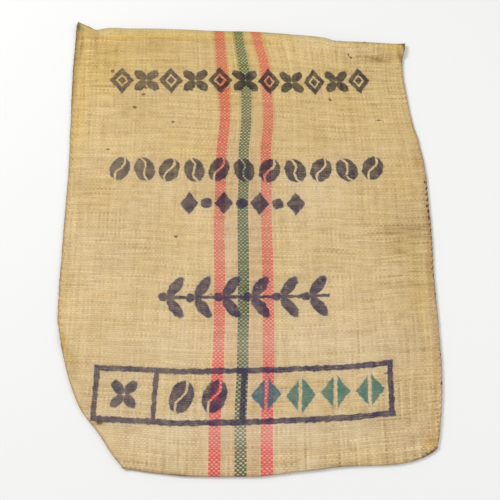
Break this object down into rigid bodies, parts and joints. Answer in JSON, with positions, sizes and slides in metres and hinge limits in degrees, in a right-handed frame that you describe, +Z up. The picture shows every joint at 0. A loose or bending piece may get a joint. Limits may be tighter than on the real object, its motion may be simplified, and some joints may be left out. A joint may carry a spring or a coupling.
{
  "type": "burlap sack",
  "caption": "Empty burlap sack lying flat: one length of sacking folded at the bottom, sewn along both sides, with a hemmed, slightly open mouth.",
  "frame": {"origin": "middle of the underside, on the surface the sack lies on", "axes": "+X to the sack's right seen from above with the mouth away, +Y from the bottom fold to the mouth, +Z up from the back layer to the front layer"},
  "size_m": [0.718, 0.958, 0.0223],
  "materials": {
    "jute": "coarse natural plant-fibre sacking, dull and slightly hairy"
  },
  "bodies": {
    "root": {"sack_body": "jute"}
  },
  "joints": []
}
